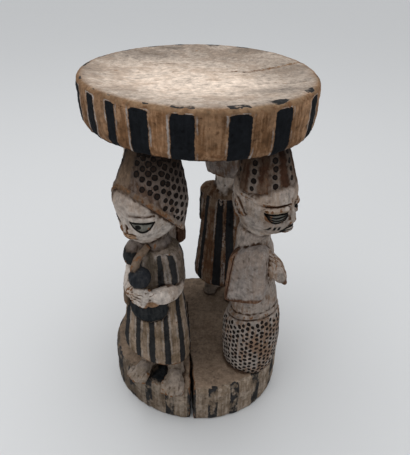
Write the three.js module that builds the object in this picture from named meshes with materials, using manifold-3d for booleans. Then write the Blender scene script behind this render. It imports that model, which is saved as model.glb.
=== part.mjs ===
// A carved caryatid stool in one block of wood: a round dished seat on four standing and kneeling
// figures, which share a round base. Two robed men alternate with two kneeling women.
// Millimetres, +Z up, origin under the middle of the base. Angles round the stool are in degrees
// from -Y, the front, towards +X.
import * as THREE from "three";
import { mergeVertices } from "three/addons/utils/BufferGeometryUtils.js";
import Module from "manifold-3d";

const wasm = await Module();
wasm.setup();

// Driving dimensions of the block
const STOOL_HEIGHT = 450;
const SEAT_RADIUS = 136;
const SEAT_THICKNESS = 52;
const SEAT_DISH_DEPTH = 5;
const BASE_RADIUS = 121;
const BASE_THICKNESS = 63;
const ROUND_SIDES = 40;

// The hand-cut discs are a little oval and a little three-sided: [share of the radius, turn in degrees]
const SEAT_OVAL = { two: [0.028, 109], three: [0.016, 65.5] };
const BASE_OVAL = { two: [0.009, 120.6], three: [0.022, 85.5] };

// The figures: angle round the stool and distance of the figure's axis from the middle; the ways the
// body and the head face; for a man, the sideways tilt of his hem and where his ankles and toes are
const FRONT_MAN = {
  angle: 326,
  out: 92,
  faces: 348,
  headFaces: 314,
  headAt: [0, 0],
  hemZ: 43,
  hemTilt: -0.3,
  legRadius: 11,
  feet: [
    { ankle: [-14, -4], toes: [-24, -31] },
    { ankle: [25, -8], toes: [29, -43] },
  ],
};
const RIGHT_WOMAN = {
  angle: 52,
  out: 92,
  faces: 58,
  headFaces: 54,
  nipples: [
    [-13, -46, 161],
    [5, -31, 159],
  ],
};
const BACK_MAN = {
  angle: 152,
  out: 80,
  faces: 152,
  headFaces: 150,
  headAt: [-3, -8],
  hemZ: 50,
  hemTilt: 0,
  legRadius: 9,
  feet: [
    { ankle: [-20, -6], toes: [-23, -40] },
    { ankle: [20, -6], toes: [23, -40] },
  ],
};
const BACK_WOMAN = {
  angle: 232,
  out: 74,
  faces: 232,
  headFaces: 232,
  nipples: [
    [-14, -42, 160],
    [14, -42, 160],
  ],
};

// A figure is measured up from the top of the base, and fills the space under the seat
const FIGURE_HEIGHT = STOOL_HEIGHT - SEAT_THICKNESS - BASE_THICKNESS;
const INTO_BLOCK = 4; // how far a figure's ends run into the seat and the base

// Drying crack in the base, open at the rim
const CRACK = { angle: 355, rimWidth: 5.5, innerRadius: 28 };

const radians = THREE.MathUtils.degToRad;

// A closed three.js geometry as a solid
function solid(geometry) {
  geometry.deleteAttribute("normal");
  geometry.deleteAttribute("uv");
  const merged = mergeVertices(geometry, 1e-3);
  return new wasm.Manifold(
    new wasm.Mesh({
      numProp: 3,
      vertProperties: merged.attributes.position.array,
      triVerts: new Uint32Array(merged.index.array),
    }),
  );
}

// A solid as a geometry with flat faces
function geometryOf(body) {
  const mesh = body.getMesh();
  const geometry = new THREE.BufferGeometry()
    .setAttribute("position", new THREE.BufferAttribute(mesh.vertProperties, 3))
    .setIndex(new THREE.BufferAttribute(mesh.triVerts, 1))
    .toNonIndexed();
  geometry.computeVertexNormals();
  return geometry;
}

const join = (bodies) => bodies.reduce((whole, body) => whole.add(body));

// Moves every vertex of a geometry to where a function puts it
function reshape(geometry, place) {
  const at = geometry.attributes.position;
  const point = new THREE.Vector3();
  for (let i = 0; i < at.count; i++) {
    point.fromBufferAttribute(at, i);
    place(point);
    at.setXYZ(i, point.x, point.y, point.z);
  }
  return geometry;
}

// A rounded coordinate on the unit circle, pushed out towards a square as squareness grows past 2
const squared = (u, squareness) => Math.sign(u) * Math.abs(u) ** (2 / squareness);

// A form carved in the round: a stack of rounded outlines, from the lowest up. Each has its height z,
// half width w and half depth d, and may have its middle off the axis (x, y), a rise towards the
// back (slope) or towards the left side (tilt), and a squareness above 2.
function carved(levels, sides) {
  const steps = levels.length - 1;
  const form = new THREE.CylinderGeometry(1, 1, 1, sides, steps);
  return solid(
    reshape(form, (p) => {
      const { z, w, d, x = 0, y = 0, slope = 0, tilt = 0, square = 2 } = levels[Math.round((p.y + 0.5) * steps)];
      const dx = w * squared(p.x, square);
      const dy = d * squared(-p.z, square);
      p.set(x + dx, y + dy, z + slope * dy + tilt * dx);
    }),
  );
}

// A limb: outlines of a half width and half depth square to a path, with closed ends
function limb(path, sides, square = 2) {
  const steps = path.length - 1;
  const curve = new THREE.CatmullRomCurve3(path.map((s) => new THREE.Vector3(...s.at)));
  const up = new THREE.Vector3(0, 0, 1);
  const form = new THREE.CylinderGeometry(1, 1, 1, sides, steps);
  return solid(
    reshape(form, (p) => {
      const t = p.y + 0.5;
      const { w, d = w } = path[Math.round(t * steps)];
      const turn = new THREE.Quaternion().setFromUnitVectors(up, curve.getTangent(t));
      p.set(w * squared(p.x, square), d * squared(-p.z, square), 0)
        .applyQuaternion(turn)
        .add(curve.getPoint(t));
    }),
  );
}

// An egg-shaped lump of the given half sizes, turned about X, then Y, then Z in degrees
function lump([x, y, z], [rx, ry, rz], turn = [0, 0, 0], detail = 8) {
  const egg = new THREE.SphereGeometry(1, detail, Math.max(4, Math.round(detail * 0.5)));
  egg.scale(rx, ry, rz);
  egg.applyMatrix4(new THREE.Matrix4().makeRotationFromEuler(new THREE.Euler(...turn.map(radians), "ZYX")));
  egg.translate(x, y, z);
  return solid(egg);
}

// A block of the given sizes round a point, turned the same way
function block([x, y, z], [sx, sy, sz], turn = [0, 0, 0]) {
  const box = new THREE.BoxGeometry(sx, sy, sz);
  box.applyMatrix4(new THREE.Matrix4().makeRotationFromEuler(new THREE.Euler(...turn.map(radians), "ZYX")));
  box.translate(x, y, z);
  return solid(box);
}

// The same thing made for the figure's right side, -1, and its left side, +1
const bothSides = (make) => [-1, 1].map(make);

// Radius of a hand-cut disc at a turn round it, as a share of its named radius
function ovalShare({ two, three }, turn) {
  return 1 + two[0] * Math.cos(2 * (turn - radians(two[1]))) + three[0] * Math.cos(3 * (turn - radians(three[1])));
}

// A disc turned from a profile of [radius, height] points, and then made a little out of round
function disc(profile, oval) {
  const turned = new THREE.LatheGeometry(
    profile.map(([r, z]) => new THREE.Vector2(r, z)),
    ROUND_SIDES,
  );
  turned.rotateX(Math.PI / 2);
  return solid(
    reshape(turned, (p) => {
      const share = ovalShare(oval, Math.atan2(p.y, p.x));
      p.x *= share;
      p.y *= share;
    }),
  );
}

// The seat: a thick disc with a softened rim and a shallow dish, flat in its middle
function seat() {
  const under = STOOL_HEIGHT - SEAT_THICKNESS;
  const dish = STOOL_HEIGHT - SEAT_DISH_DEPTH;
  return disc(
    [
      [0, under],
      [SEAT_RADIUS - 8, under],
      [SEAT_RADIUS - 1, under + 9],
      [SEAT_RADIUS, STOOL_HEIGHT - 6],
      [SEAT_RADIUS - 8, STOOL_HEIGHT],
      [SEAT_RADIUS * 0.62, dish],
      [0, dish],
    ],
    SEAT_OVAL,
  );
}

// The base: a thick disc with a worn upper edge, split on one side by a drying crack
function base() {
  const body = disc(
    [
      [0, 0],
      [BASE_RADIUS - 3, 0],
      [BASE_RADIUS, 5],
      [BASE_RADIUS, BASE_THICKNESS - 5],
      [BASE_RADIUS - 7, BASE_THICKNESS],
      [0, BASE_THICKNESS],
    ],
    BASE_OVAL,
  );
  const outside = BASE_RADIUS + 12;
  const share = outside - CRACK.innerRadius;
  const wedge = new THREE.Shape([
    new THREE.Vector2(0, -CRACK.innerRadius),
    new THREE.Vector2((-CRACK.rimWidth / 2) * (share / (BASE_RADIUS - CRACK.innerRadius)), -outside),
    new THREE.Vector2((CRACK.rimWidth / 2) * (share / (BASE_RADIUS - CRACK.innerRadius)), -outside),
  ]);
  const crack = new THREE.ExtrudeGeometry(wedge, { depth: BASE_THICKNESS + 4, bevelEnabled: false });
  crack.translate(0, 0, -2);
  crack.rotateZ(radians(CRACK.angle));
  return body.subtract(solid(crack));
}

// Everything of a solid above a plane that runs from side to side, at height z over y and rising by
// rise for each millimetre towards the back
function above(body, { y, z, rise }) {
  return body.trimByPlane([0, -rise, 1], (z - rise * y) / Math.hypot(rise, 1));
}

// A face in the traditional manner of these stools: large lidded eyes, broad nose, full lips.
// Sizes are of the bare head: depth is how far forward of the axis the skin is at the eyes.
function faceFeatures({ eyeZ, depth, eyeDepth, noseZ, mouthZ, mouthDepth }) {
  const side = 20;
  const nose = limb(
    [
      { at: [0, -depth + 4, eyeZ + 12], w: 4, d: 3 },
      { at: [0, -depth, eyeZ], w: 5, d: 4 },
      { at: [0, -depth - 3, noseZ + 2], w: 8.5, d: 4.5 },
      { at: [0, -depth + 3, noseZ - 4], w: 8, d: 2 },
    ],
    5,
  );
  const eyes = bothSides((s) => lump([s * side, -eyeDepth, eyeZ - 1], [13, 5, 8.5], [0, 0, s * 45], 8));
  const lids = bothSides((s) => lump([s * side, 1 - eyeDepth, eyeZ + 10], [14, 5.5, 6.5], [-8, 0, s * 45], 8));
  const lips = [2.8, -2.8].map((rise) => lump([0, -mouthDepth + 3, mouthZ + rise], [14, 5.5, 3.2], [0, 0, 0], 6));
  return join([nose, ...eyes, ...lids, ...lips]);
}

// A man's cap: a tall rounded hood open over the face. With flaps it hangs to a point beside the jaw.
function hood(flaps) {
  const low = flaps ? 216 : 226;
  const form = carved(
    [
      { z: low - 4, w: 28, d: 16, y: 14 },
      { z: low + 8, w: 34.5, d: 27, y: 9, square: 2.2 },
      { z: 250, w: 38, d: 38, y: 1, square: 2.3 },
      { z: 270, w: 38.5, d: 42, y: -2, square: 2.3 },
      { z: 290, w: 34, d: 37, y: 0, square: 2.2 },
      { z: FIGURE_HEIGHT + INTO_BLOCK, w: 24, d: 26, y: 5 },
    ],
    14,
  );
  const openAtFace = above(form, flaps ? { y: -27, z: 270, rise: -1.25 } : { y: -38, z: 284, rise: -0.85 });
  return above(openAtFace, { y: 15, z: low, rise: flaps ? 0.55 : 0.1 });
}

// A hand laid flat across the body, with four fingers, pointing towards the left side (1) or right (-1)
function hand([x, y, z], point, tilt) {
  const palm = limb(
    [
      { at: [x - point * 11, y + 6, z], w: 8, d: 6 },
      { at: [x, y, z], w: 8.5, d: 6 },
      { at: [x + point * 11, y + 1, z], w: 8, d: 5 },
    ],
    6,
    2.4,
  );
  const gaps = [-1, 0, 1].map((n) => block([x + point * 6, y - 6, z + n * 4.2], [14, 5, 1], [0, tilt, 0]));
  return gaps.reduce((cut, gap) => cut.subtract(gap), palm);
}

// A bare foot from the ankle to the tips of its toes, which are cut apart and bend a little over the rim
function foot({ ankle: [ax, ay], toes: [tx, ty] }) {
  const turn = Math.atan2(tx - ax, ay - ty);
  const along = (t, z, w, d) => ({ at: [ax + (tx - ax) * t, ay + (ty - ay) * t, z], w, d });
  const sole = limb([along(-0.1, 7, 10, 10), along(0.45, 7, 12.5, 9), along(1, -3, 16, 6)], 8, 2.5);
  const gaps = [-1.5, -0.5, 0.5, 1.5].map((n) =>
    block(
      [tx + n * 6.4 * Math.cos(turn), ty + n * 6.4 * Math.sin(turn), 3],
      [1.1, 15, 24],
      [0, 0, THREE.MathUtils.radToDeg(turn)],
    ),
  );
  return gaps.reduce((cut, gap) => cut.subtract(gap), sole);
}

// A standing man in a long striped robe with wide short sleeves. One man holds a long-necked gourd.
function robedMan({ headFaces, headAt, faces, hemZ, hemTilt, feet, legRadius, holdsGourd, flaps }) {
  const robe = carved(
    [
      { z: hemZ, w: 42.5, d: 36, tilt: hemTilt },
      { z: 70, w: 42, d: 36, tilt: hemTilt / 2 },
      { z: 100, w: 38, d: 33.5 },
      { z: 135, w: 34, d: 30 },
      { z: 165, w: 31, d: 27, x: 1 },
      { z: 198, w: 30, d: 24, x: 1 },
      { z: 209, w: 22, d: 20, x: 1 },
      { z: 221, w: 16, d: 18, y: -1 },
    ],
    14,
  );
  const legs = feet.map(({ ankle: [x, y] }) =>
    carved(
      [
        { z: -INTO_BLOCK, x, y: y + 2, w: legRadius, d: legRadius + 1 },
        { z: hemZ + 10, x: x * 0.9, y: y + 5, w: legRadius + 1.5, d: legRadius + 2 },
      ],
      8,
    ),
  );
  // With the gourd, the right arm is raised out of a short sleeve. Otherwise the sleeves are alike.
  const longSleeve = (s) =>
    carved(
      [
        { z: 150, w: 16, d: 22, x: s * 20, y: -3, square: 2.5 },
        { z: 175, w: 16, d: 22, x: s * 20, y: -3, square: 2.5 },
        { z: 199, w: 14, d: 19, x: s * 20, y: -1, square: 2.5 },
        { z: 209, w: 9, d: 14, x: s * 15, square: 2.5 },
      ],
      10,
    );
  const shortSleeve = carved(
    [
      { z: 178, w: 12, d: 15, x: -21, y: -4, slope: 0.3 },
      { z: 196, w: 12.5, d: 17, x: -19, y: -3, slope: 0.3 },
      { z: 209, w: 9, d: 14, x: -13, y: -1 },
    ],
    12,
  );
  const sleeves = [holdsGourd ? shortSleeve : longSleeve(-1), longSleeve(1)];
  const rightArm = limb(
    [
      { at: [-25, -5, 188], w: 9 },
      { at: [-33, -9, 160], w: 9.5 },
      { at: [-25, -32, 158], w: 9 },
      { at: [-13, -43, 162], w: 8 },
    ],
    8,
  );
  const leftArm = limb(
    [
      { at: [27, 0, 160], w: 9 },
      { at: [29, -10, 148], w: 10 },
      { at: [22, -33, 151], w: 10.5 },
      { at: [9, -42, 155], w: 9.5 },
    ],
    8,
  );
  const hands = [hand([-8, -45, 164], 1, 8), hand([2, -47, 155], -1, -10)];

  const head = join([
    carved(
      [
        { z: 210, w: 14, d: 15 },
        { z: 221, w: 18, d: 24, y: -6 },
        { z: 227, w: 24, d: 32, y: -6 },
        { z: 238, w: 29, d: 36, y: -3, square: 2.3 },
        { z: 252, w: 32.5, d: 38, y: -1, square: 2.4 },
        { z: 272, w: 33, d: 39, y: 0, square: 2.3 },
        { z: 290, w: 30, d: 34, y: 2 },
      ],
      12,
    ),
    faceFeatures({ eyeZ: 250, depth: 39, eyeDepth: 29.5, noseZ: 240, mouthZ: 231.5, mouthDepth: 37.5 }),
    hood(flaps),
  ])
    .rotate([0, 0, headFaces - faces])
    .translate([...headAt, 0]);

  const gourd = join([
    lump([-4, -41, 184], [12.5, 12.5, 12.5], [0, 0, 0], 9),
    limb(
      [
        { at: [-4, -41, 186], w: 7 },
        { at: [-4, -36, 202], w: 6 },
        { at: [0, -20, 214], w: 5 },
      ],
      6,
    ),
    lump([2, -27, 128], [19, 12, 20], [0, 0, 0], 8),
  ]);
  // The wood is left standing between this man's legs, at the back
  const webOfLegs = carved(
    [
      { z: -INTO_BLOCK, w: 25, d: 11, x: 4, y: 14 },
      { z: hemZ + 12, w: 28, d: 14, x: 2, y: 12 },
    ],
    8,
  );
  const parts = [robe, ...legs, ...feet.map(foot), ...sleeves, rightArm, leftArm, ...hands, head];
  return join(holdsGourd ? [...parts, gourd, webOfLegs] : parts);
}

// A kneeling woman, bare above a patterned wrapper that covers her folded legs
function kneelingWoman({ headFaces, faces, nipples }) {
  const wrapper = carved(
    [
      { z: -INTO_BLOCK, w: 36.5, d: 36.5, y: -2 },
      { z: 10, w: 39, d: 38.5, y: -2 },
      { z: 30, w: 40, d: 39.5, y: -2 },
      { z: 58, w: 40, d: 40, y: -2 },
      { z: 80, w: 38, d: 38.5, y: -2 },
      { z: 95, w: 33, d: 34, y: -2, slope: -0.3 },
    ],
    14,
  );
  const trunk = carved(
    [
      { z: 84, w: 30, d: 31, y: -2 },
      { z: 110, w: 29.5, d: 31, y: -2 },
      { z: 126, w: 28, d: 29, y: -2 },
      { z: 148, w: 27, d: 24, y: 1 },
      { z: 178, w: 30, d: 24, y: 3, slope: -0.15 },
      { z: 190, w: 26, d: 22, y: 4, slope: -0.2 },
      { z: 200, w: 17, d: 22, y: 5, slope: -0.2 },
      { z: 220, w: 16.5, d: 22, y: 5 },
    ],
    12,
  );
  const arms = bothSides((s) =>
    carved(
      [
        { z: 127, x: s * 29, w: 9, d: 25, y: -3, slope: -0.45, square: 3.2 },
        { z: 133, x: s * 29, w: 10.5, d: 27, y: -3, slope: -0.45, square: 3.2 },
        { z: 190, x: s * 27, w: 9, d: 22, y: -2, slope: -0.3, square: 3 },
        { z: 198, x: s * 21, w: 7, d: 18, y: -1, slope: -0.3, square: 3 },
      ],
      10,
    ),
  );
  const breasts = nipples.map(([x, y, z]) =>
    limb(
      [
        { at: [x * 0.9, -8, 192], w: 10 },
        { at: [x, y + 22, z + 20], w: 12.5, d: 14 },
        { at: [x, y + 9, z + 9], w: 10, d: 11 },
        { at: [x, y, z], w: 3.5, d: 4 },
      ],
      8,
    ),
  );
  const head = join([
    carved(
      [
        { z: 206, w: 15, d: 19, y: 5 },
        { z: 214, w: 19, d: 27, y: -3 },
        { z: 221, w: 24, d: 33, y: -7 },
        { z: 234, w: 29, d: 36, y: -7.5, square: 2.3 },
        { z: 250, w: 31.5, d: 37, y: -7.5, square: 2.5 },
        { z: 270, w: 32.5, d: 37, y: -6.5, square: 2.4 },
        { z: 290, w: 30, d: 32, y: -6 },
      ],
      12,
    ),
    faceFeatures({ eyeZ: 249, depth: 42.5, eyeDepth: 34, noseZ: 239, mouthZ: 227, mouthDepth: 41 }),
    ...bothSides((s) => lump([s * 31, 8, 246], [4.5, 8, 11], [0, 0, 0], 6)),
    ribbedCap(),
  ]).rotate([0, 0, headFaces - faces]);
  return join([wrapper, trunk, ...arms, ...breasts, head]);
}

// A woman's cap like a cut-off cone, with flat facets up its sides
function ribbedCap() {
  return carved(
    [
      { z: 275, w: 31, d: 31, y: -7.5, slope: -0.21 },
      { z: 276, w: 34.5, d: 34, y: -7.5, slope: -0.21 },
      { z: 288, w: 33, d: 32, y: -5.5, slope: -0.15 },
      { z: FIGURE_HEIGHT + INTO_BLOCK, w: 23, d: 23, y: 3 },
    ],
    14,
  );
}

// Stands a figure on the base
function stand(figure, { angle, out, faces }) {
  return figure
    .rotate([0, 0, faces])
    .translate([out * Math.sin(radians(angle)), -out * Math.cos(radians(angle)), BASE_THICKNESS]);
}

const wholeStool = join([
  base(),
  seat(),
  stand(robedMan({ ...FRONT_MAN, holdsGourd: true, flaps: true }), FRONT_MAN),
  stand(kneelingWoman(RIGHT_WOMAN), RIGHT_WOMAN),
  stand(robedMan({ ...BACK_MAN, holdsGourd: false, flaps: false }), BACK_MAN),
  stand(kneelingWoman(BACK_WOMAN), BACK_WOMAN),
]);

const paintedWood = new THREE.MeshStandardMaterial({ color: 0x9c8468, roughness: 0.85, metalness: 0 });
const stool = new THREE.Mesh(geometryOf(wholeStool), paintedWood);
stool.name = "caryatid_stool";

const part = new THREE.Group();
part.add(stool);

export default part;
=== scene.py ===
import math

import bpy
import numpy as np
from mathutils import Euler, Matrix, Vector
from mathutils.bvhtree import BVHTree


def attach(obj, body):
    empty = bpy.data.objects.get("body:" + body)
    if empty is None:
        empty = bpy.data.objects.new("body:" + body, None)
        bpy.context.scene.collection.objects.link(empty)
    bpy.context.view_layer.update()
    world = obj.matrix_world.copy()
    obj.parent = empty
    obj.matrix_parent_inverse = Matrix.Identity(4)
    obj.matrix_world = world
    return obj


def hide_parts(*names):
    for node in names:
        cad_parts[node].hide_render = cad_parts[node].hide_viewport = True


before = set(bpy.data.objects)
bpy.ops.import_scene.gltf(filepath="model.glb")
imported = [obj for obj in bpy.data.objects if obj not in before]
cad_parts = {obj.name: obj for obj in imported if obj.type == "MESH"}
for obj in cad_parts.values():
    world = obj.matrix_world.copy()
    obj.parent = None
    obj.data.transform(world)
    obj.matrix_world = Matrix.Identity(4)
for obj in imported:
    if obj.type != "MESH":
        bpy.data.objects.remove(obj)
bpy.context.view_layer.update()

bpy.ops.object.select_all(action="DESELECT")

# Base
# A thick round slice of the log, hand cut and so a little out of round, with a worn upper edge. It
# has dried out and split from the rim inwards. Stripes of paint on its side have nearly worn off.
MM = 0.001
VOXEL = 0.95
BASE_TOP = 63
BASE_OVAL = ((2, 0.009, 120.6), (3, 0.022, 85.5))
FINISHES = {}  # by name, in the order in which they are made


def finish(name, paint, mingled, chipped=0.0, grimy=0.7, stripes=(), fade=1.0, span=(-99, 999)):
    """A painted finish: two colours that mingle, and how far it has chipped off the wood and turned
    grimy. Stripes run between turns in degrees round the form, at the heights of span, and may have
    faded."""
    FINISHES[name] = {
        "paint": paint,
        "mingled": mingled,
        "age": (chipped, grimy, fade),
        "stripes": stripes,
        "span": span,
    }


def finished(form, name):
    """Marks a form with its finish, and returns it."""
    form["finish"] = name
    return form


def edit(operation, **values):
    """Does one mesh operation on the whole of the form in hand."""
    bpy.ops.object.mode_set(mode="EDIT")
    bpy.ops.mesh.select_all(action="SELECT")
    operation(**values)
    bpy.ops.object.mode_set(mode="OBJECT")


def apply_modifier(form, kind, **values):
    """Adds one modifier to a form and applies it."""
    bpy.context.view_layer.objects.active = form
    modifier = form.modifiers.new("shape", kind)
    for key, value in values.items():
        setattr(modifier, key, value)
    bpy.ops.object.modifier_apply(modifier=modifier.name)


def squared(share, squareness):
    """A coordinate on the unit circle, pushed towards a square as squareness passes 2."""
    return math.copysign(abs(share) ** (2 / squareness), share)


def out_of_round(oval, turn):
    """Radius at a turn round a hand-cut disc, or at many, as a share of its named radius."""
    return 1 + sum(a * np.cos(n * (turn - math.radians(deg))) for n, a, deg in oval)


def carved(finish, columns, *levels, sides=20, smooth=2, oval=None):
    """A form carved in the round: an outline extruded from level to level, then smoothed. A level is
    a row of the named columns: its height z, half width w and half depth d, the middle x and y, its
    slope to the back and tilt to the side, and its squareness."""
    levels = [dict(zip(columns.split(), level)) for level in levels]
    bpy.ops.object.select_all(action="DESELECT")
    bpy.ops.mesh.primitive_circle_add(vertices=sides, radius=1, fill_type="NGON")
    form = bpy.context.object
    bpy.ops.object.mode_set(mode="EDIT")
    bpy.ops.mesh.select_all(action="SELECT")
    for _ in levels[1:]:
        bpy.ops.mesh.extrude_region_move(TRANSFORM_OT_translate={"value": (0, 0, 1)})
    bpy.ops.object.mode_set(mode="OBJECT")
    swell = 3 / (2 + math.cos(math.tau / sides)) if smooth else 1
    for vertex in form.data.vertices:
        level = levels[round(vertex.co.z)]
        square = level.get("square", 2)
        w = level["w"] * swell
        d = level.get("d", level["w"]) * swell
        if oval:
            w = d = w * out_of_round(oval, math.atan2(vertex.co.y, vertex.co.x))
        dx = w * squared(vertex.co.x, square)
        dy = d * squared(vertex.co.y, square)
        vertex.co = (
            level.get("x", 0) + dx,
            level.get("y", 0) + dy,
            level["z"] + level.get("slope", 0) * dy + level.get("tilt", 0) * dx,
        )
    edit(bpy.ops.mesh.normals_make_consistent, inside=False)
    if smooth:
        apply_modifier(form, "SUBSURF", levels=smooth, render_levels=smooth)
    return finished(form, finish)


finish(
    "base side",
    paint=(0.175, 0.13, 0.093),
    mingled=(0.235, 0.19, 0.15),
    chipped=-0.15,
    stripes=[
        *((-71, -60), (-52, -46), (-36, -30.5), (-21, -15), (-6, 0), (8, 14), (22.5, 28.5)),
        *((39, 45.5), *((a, a + 7) for a in range(58, 282, 17))),
    ],
    fade=0.35,
)
finish("base top", paint=(0.18, 0.131, 0.095), mingled=(0.112, 0.08, 0.057), chipped=-0.2, grimy=0.8)
base = carved(
    "base side",
    "z w",
    (0, 118.5), (1.5, 120.2), (5, 121), (30, 121.3), (55, 121), (60, 119), (62.4, 115.5), (63, 112),
    sides=128,
    smooth=0,
    oval=BASE_OVAL,
)
# The split: x, y and width. It is a ragged wedge at the rim, and runs on inwards as a fine crack.
BASE_CRACK = [
    (-6, -140, 6.2), (-6.6, -122, 5.4), (-5.8, -108, 4.4), (-7.8, -92, 3.4), (-7.4, -76, 2.6),
    (-9.8, -55, 1.6), (-10, -36, 1.4), (-12, -12, 1.3), (-12.4, 8, 1.2), (-14.4, 30, 1.0),
    (-16.5, 56, 0.9),
]
wedge = BASE_CRACK[:6]  # what is cut right through
bpy.ops.mesh.primitive_circle_add(vertices=2 * len(wedge), radius=1, fill_type="NGON")
crack = bpy.context.object
for vertex, (x, y) in zip(
    crack.data.vertices,
    [(x - w / 2, y) for x, y, w in wedge] + [(x + w / 2, y) for x, y, w in reversed(wedge)],
):
    vertex.co = (x, y, -3)
edit(bpy.ops.mesh.extrude_region_move, TRANSFORM_OT_translate={"value": (0, 0, 72)})
edit(bpy.ops.mesh.normals_make_consistent, inside=False)
for vertex in crack.data.vertices:
    if vertex.co.z > 30:
        vertex.co.x += 0.9
apply_modifier(base, "BOOLEAN", operation="DIFFERENCE", solver="EXACT", object=crack)
bpy.data.objects.remove(crack)

# Seat
# The thick upper disc, worn to bare pale wood in its shallow dish, with a softened rim. Bold
# blue-black stripes edged with thin white lines are painted down its side, over ochre.
SEAT_OVAL = ((2, 0.028, 109), (3, 0.016, 65.5))
finish(
    "seat side",
    paint=(0.160, 0.083, 0.041),
    mingled=(0.225, 0.132, 0.075),
    chipped=-0.06,
    grimy=0.8,
    stripes=[
        *((-80, -68), (-57, -51), (-42, -36.5), (-28.8, -20), (-11, -1.5), (11, 20), (30, 38.3)),
        *((52, 60), *((a, a + 8) for a in range(78, 275, 18))),
    ],
    span=(330, 382),
)
finish(
    "seat top",
    paint=(0.64, 0.53, 0.44),
    mingled=(0.40, 0.315, 0.25),
    chipped=-0.12,
    grimy=0.6,
    stripes=FINISHES["seat side"]["stripes"],
    fade=0.45,
    span=(128.5, 999),  # from the middle outwards
)
seat = carved(
    "seat side",
    "z w",
    (398, 128), (399.5, 131), (406, 134.6), (420, 135.6), (440, 136.2), (446.5, 135.6),
    (449.3, 133), (450, 129.5), (449, 118), (446.6, 98), (445.2, 76), (445, 50),
    sides=128,
    smooth=0,
    oval=SEAT_OVAL,
)
stool_forms = [("block", base), ("block", seat)]

# Front man
# He stands at the front left in a long striped robe with wide sleeves, holding a long-necked gourd
# with both hands. His tall spotted hood hangs to a point beside the jaw. All cut from the block.

# Where a figure stands and how far out, the ways body and head face, in degrees and millimetres,
# and whose face it has: 1 is a man's and 2 a woman's
FRONT_MAN = {"angle": 326, "out": 92, "faces": 348, "head_faces": 314, "head_at": (0, 0), "style": 1}
finish(
    "skirt",
    paint=(0.17, 0.12, 0.078),
    mingled=(0.22, 0.165, 0.122),
    chipped=0.0,
    stripes=[(5 + 30.4 * n - (9.5 if n == -2 else 5.8), 5 + 30.4 * n + 5.8) for n in range(-5, 7)],
    fade=0.85,
)
finish(
    "shoulders",
    paint=(0.115, 0.088, 0.064),
    mingled=(0.165, 0.13, 0.106),
    stripes=[
        *((24, 37), (48.4, 60.5), (97, 109), (122, 135), (150, 163), (185, 198), (222, 234)),
        *((258, 270), (292, 304), (330, 342)),
    ],
    fade=0.85,
    span=(-99, 203),
)
finish("collar", paint=(0.17, 0.14, 0.125), mingled=(0.12, 0.095, 0.08), grimy=0.9)
finish("feet", paint=(0.25, 0.205, 0.17), mingled=(0.165, 0.13, 0.10), chipped=-0.35, grimy=0.6)
finish("skin", paint=(0.50, 0.44, 0.395), mingled=(0.34, 0.28, 0.235), chipped=-0.09, grimy=1.0)
finish("worn skin", paint=(0.26, 0.15, 0.085), mingled=(0.36, 0.27, 0.20), chipped=0.05)
finish("hood", paint=(0.25, 0.21, 0.188), mingled=(0.115, 0.078, 0.058), chipped=-0.05, grimy=0.8)
finish("hood front", paint=(0.30, 0.225, 0.165), mingled=(0.19, 0.145, 0.11), chipped=0.02)
finish("hood band", paint=(0.235, 0.185, 0.15), mingled=(0.20, 0.125, 0.075), chipped=0.04)
finish("gourd", paint=(0.018, 0.020, 0.024), mingled=(0.028, 0.028, 0.030), chipped=-0.3, grimy=0.2)
finish("gourd neck", paint=(0.17, 0.12, 0.085), mingled=(0.12, 0.09, 0.068), chipped=-0.15)
# Blue-black paint for the gourd's lower bulb, and painted shade for the hollows behind and between his legs
# and under his far sleeve; it also darkens the corner of his far eye
finish("shadow", paint=(0.011, 0.013, 0.015), mingled=(0.022, 0.023, 0.024), chipped=-0.2, grimy=0.5)


def limb(finish, path, sides=8):
    """A rounded limb along a path of (x, y, z, radius), with closed ends."""
    curve = bpy.data.curves.new("limb", "CURVE")
    curve.dimensions = "3D"
    curve.bevel_depth = 1
    curve.bevel_resolution = sides // 2
    curve.use_fill_caps = True
    curve.resolution_u = 5
    spline = curve.splines.new("NURBS")
    spline.points.add(len(path) - 1)
    for point, (x, y, z, radius) in zip(spline.points, path):
        point.co = (x, y, z, 1)
        point.radius = radius
    spline.use_endpoint_u = True
    spline.order_u = min(3, len(path))
    form = bpy.data.objects.new("limb", curve)
    bpy.context.collection.objects.link(form)
    bpy.ops.object.select_all(action="DESELECT")
    form.select_set(True)
    bpy.context.view_layer.objects.active = form
    bpy.ops.object.convert(target="MESH")
    form = bpy.context.object
    edit(bpy.ops.mesh.remove_doubles, threshold=0.01)
    edit(bpy.ops.mesh.normals_make_consistent, inside=False)
    return finished(form, finish)


def lump(finish, at, radii, turn=(0, 0, 0)):
    """An egg-shaped lump of the given half sizes, turned about X, then Y, then Z in degrees."""
    bpy.ops.object.select_all(action="DESELECT")
    bpy.ops.mesh.primitive_uv_sphere_add(segments=20, ring_count=10, radius=1)
    form = bpy.context.object
    turned = Euler([math.radians(t) for t in turn], "XYZ").to_matrix().to_4x4()
    form.data.transform(Matrix.Translation(at) @ turned @ Matrix.Diagonal((*radii, 1)))
    return finished(form, finish)


def bisected(form, at, normal):
    """Keeps what lies behind a plane, and closes the cut."""
    bpy.ops.object.select_all(action="DESELECT")
    form.select_set(True)
    bpy.context.view_layer.objects.active = form
    edit(bpy.ops.mesh.bisect, plane_co=at, plane_no=normal, use_fill=True, clear_outer=True)
    return form


def turned(forms, degrees, at=(0, 0, 0)):
    """Turns forms about the upright axis, then moves them."""
    for form in forms:
        form.data.transform(Matrix.Translation(at) @ Matrix.Rotation(math.radians(degrees), 4, "Z"))
    return forms


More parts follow.
